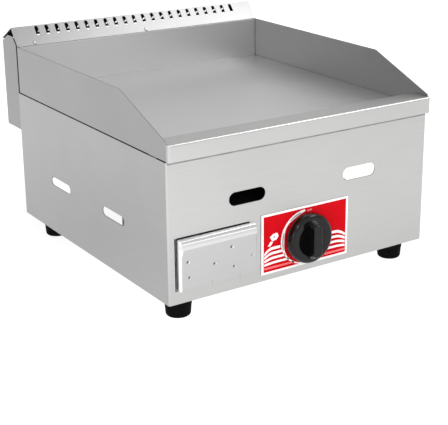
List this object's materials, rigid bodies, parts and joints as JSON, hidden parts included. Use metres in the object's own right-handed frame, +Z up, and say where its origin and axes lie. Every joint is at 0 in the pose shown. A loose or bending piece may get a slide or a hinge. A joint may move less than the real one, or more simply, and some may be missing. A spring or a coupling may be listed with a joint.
{
  "type": "flat top griddle",
  "caption": "Countertop gas griddle: a flat steel plate between splash guards, with a slotted rear vent, a knob-operated burner underneath and a pull-out grease drawer.",
  "frame": {"origin": "middle of the whole object, on the surface that the feet stand on", "axes": "+X to the right seen from the front, +Y from the front panel to the back, +Z up"},
  "size_m": [0.4, 0.4814, 0.2973],
  "materials": {
    "casing_steel": "fine brushed stainless sheet",
    "plate_steel": "smooth ground steel cooking plate",
    "zinc_plate": "bright zinc-plated steel",
    "spring_wire": "drawn spring wire",
    "black_enamel": "black enamel",
    "cast_iron": "rough cast iron",
    "brass": "turned brass",
    "black_rubber": "matt black rubber",
    "black_plastic": "glossy black plastic",
    "red_label": "printed red label with a white border",
    "ceramic": "glazed white ceramic"
  },
  "bodies": {
    "casing": {"front_panel": "casing_steel", "side_panel_left": "casing_steel", "side_panel_right": "casing_steel", "back_panel": "casing_steel", "base_rail_left": "casing_steel", "base_rail_right": "casing_steel", "splash_guard_left": "casing_steel", "splash_guard_right": "casing_steel", "rear_guard": "casing_steel", "front_fascia": "casing_steel", "grease_trough": "casing_steel", "drain_spout": "casing_steel", "support_rail_left": "casing_steel", "support_rail_right": "casing_steel", "vent_cowl": "casing_steel", "cowl_rivet_left": "casing_steel", "cowl_rivet_centre": "casing_steel", "flue_back": "casing_steel", "flue_side_left": "casing_steel", "flue_side_right": "casing_steel", "burner_bracket_front": "casing_steel", "burner_bracket_rear": "casing_steel", "griddle_plate": "plate_steel", "foot_bolt_front_left": "zinc_plate", "foot_bolt_front_right": "zinc_plate", "foot_bolt_rear_left": "zinc_plate", "foot_bolt_rear_right": "zinc_plate", "drawer_runner_left": "zinc_plate", "drawer_runner_right": "zinc_plate", "runner_tie": "zinc_plate", "bonnet_nut": "zinc_plate", "foot_front_left": "black_rubber", "foot_front_right": "black_rubber", "foot_rear_left": "black_rubber", "foot_rear_right": "black_rubber", "ignition_lead": "black_rubber", "tap_body": "brass", "tap_bonnet": "brass", "pipe_nut_tap": "brass", "gas_pipe": "brass", "pipe_nut_inlet": "brass", "gas_inlet": "brass", "outlet_pipe": "brass", "injector_elbow": "brass", "injector": "brass", "mixing_tube": "cast_iron", "crossover_tube": "cast_iron", "burner_tube_left": "cast_iron", "burner_tube_right": "cast_iron", "control_label": "red_label", "piezo_igniter": "black_plastic", "stem_spring": "spring_wire", "heat_shield": "black_enamel", "spark_electrode": "ceramic"},
    "drawer": {"drawer_front": "casing_steel", "drawer_pan": "casing_steel"},
    "plug": {"tap_plug": "brass"},
    "knob": {"knob": "black_plastic", "valve_stem": "brass"},
    "shutter": {"air_shutter": "zinc_plate"}
  },
  "joints": [
    {"name": "drawer_slide", "type": "slide", "parent": "casing", "child": "drawer", "axis": [0, -1, 0], "range_m": [0, 0.1]},
    {"name": "tap_turn", "type": "hinge", "parent": "casing", "child": "plug", "pos_m": [0.001, -0.18075, 0.075], "axis": [0, -1, 0], "range_deg": [0, 180]},
    {"name": "knob_push", "type": "slide", "parent": "plug", "child": "knob", "axis": [0, 1, 0], "range_m": [0, 0.0035], "stiffness_N_per_m": 600, "springref_m": -0.002, "deforming": ["stem_spring"]},
    {"name": "air_shutter_turn", "type": "hinge", "parent": "casing", "child": "shutter", "pos_m": [0.001, -0.156, 0.142], "axis": [0, 1, 0], "range_deg": [0, 60]}
  ]
}
